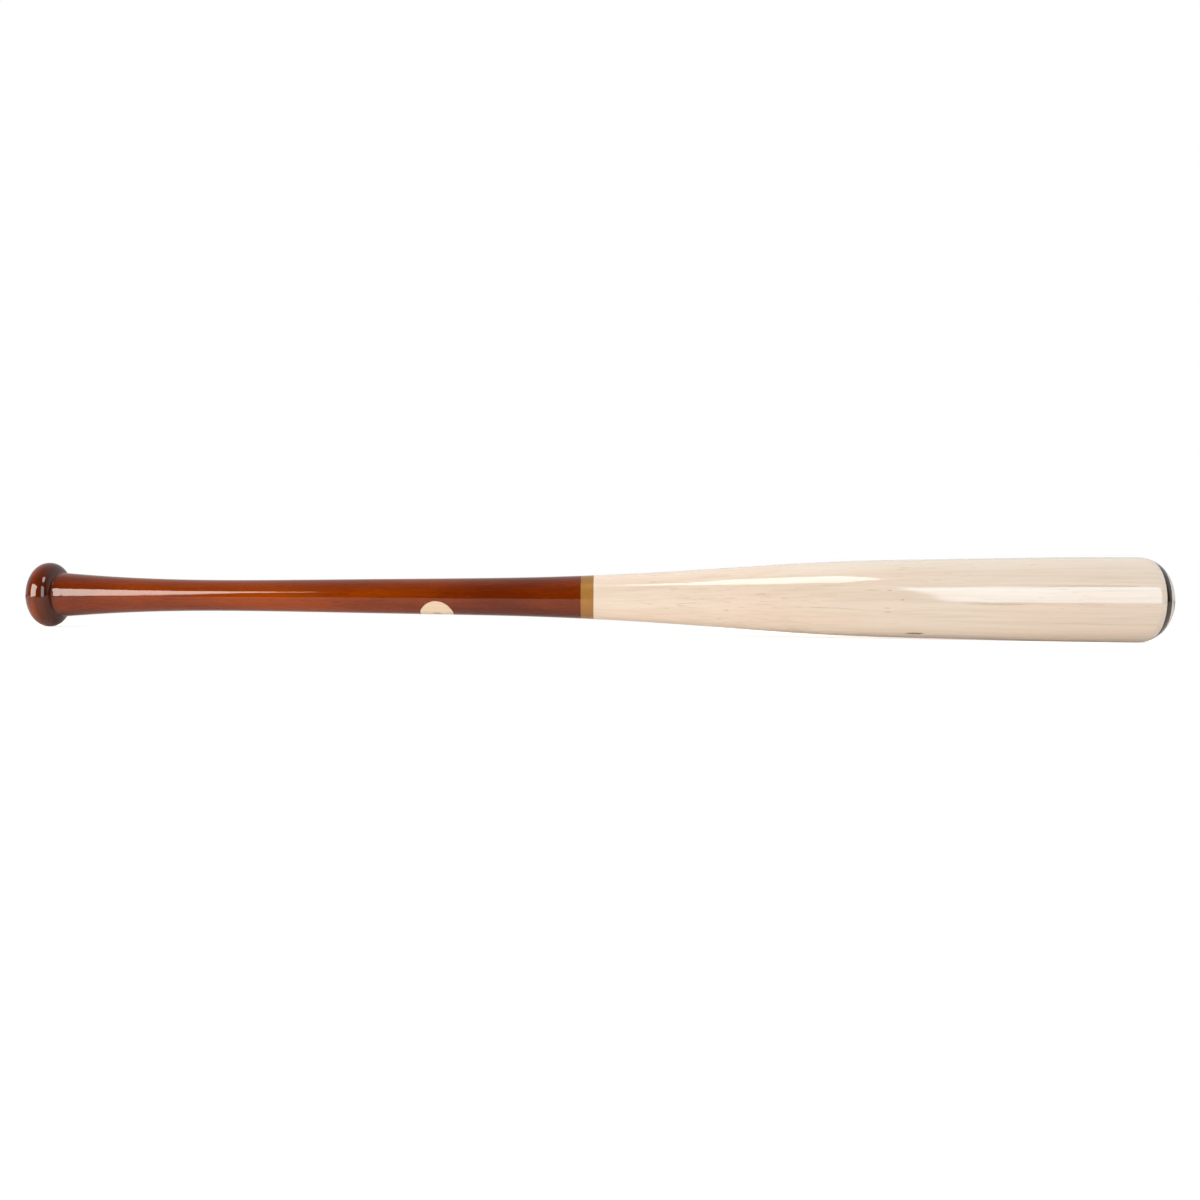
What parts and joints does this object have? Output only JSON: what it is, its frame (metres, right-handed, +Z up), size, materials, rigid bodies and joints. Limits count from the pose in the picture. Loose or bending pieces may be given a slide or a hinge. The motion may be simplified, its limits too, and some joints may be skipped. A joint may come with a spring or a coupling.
{
  "type": "baseball bat",
  "caption": "Turned wooden baseball bat with a rounded knob, a brown stained handle, a gold band and a clear-coated barrel with a cupped end.",
  "frame": {"origin": "on the bat's axis, halfway between the flat end of the knob and the rim of the cup", "axes": "+X along the bat's axis from the knob to the barrel, +Z up as the bat lies; the unstained spot on the handle faces 68 degrees from -Y towards -Z"},
  "size_m": [0.8636, 0.065, 0.065],
  "materials": {
    "maple": "bare sanded maple, seen only inside the cup and on its edge",
    "brown_lacquer": "high-gloss translucent red-brown lacquer with the grain showing through",
    "spot_lacquer": "clear gloss lacquer over unstained maple",
    "ink": "faded ink drawn out along the grain",
    "gold_paint": "gold paint under clear gloss lacquer",
    "barrel_lacquer": "clear gloss lacquer over pale straight-grained maple",
    "dark_paint": "near-black brown paint under clear gloss lacquer",
    "lip_lacquer": "clear gloss lacquer over pale end grain"
  },
  "bodies": {
    "root": {"maple_billet": "maple", "handle_coat": "brown_lacquer", "spot_coat": "spot_lacquer", "ink_mark": "ink", "centre_band": "gold_paint", "barrel_coat": "barrel_lacquer", "end_ring": "dark_paint", "lip_coat": "lip_lacquer"}
  },
  "joints": []
}
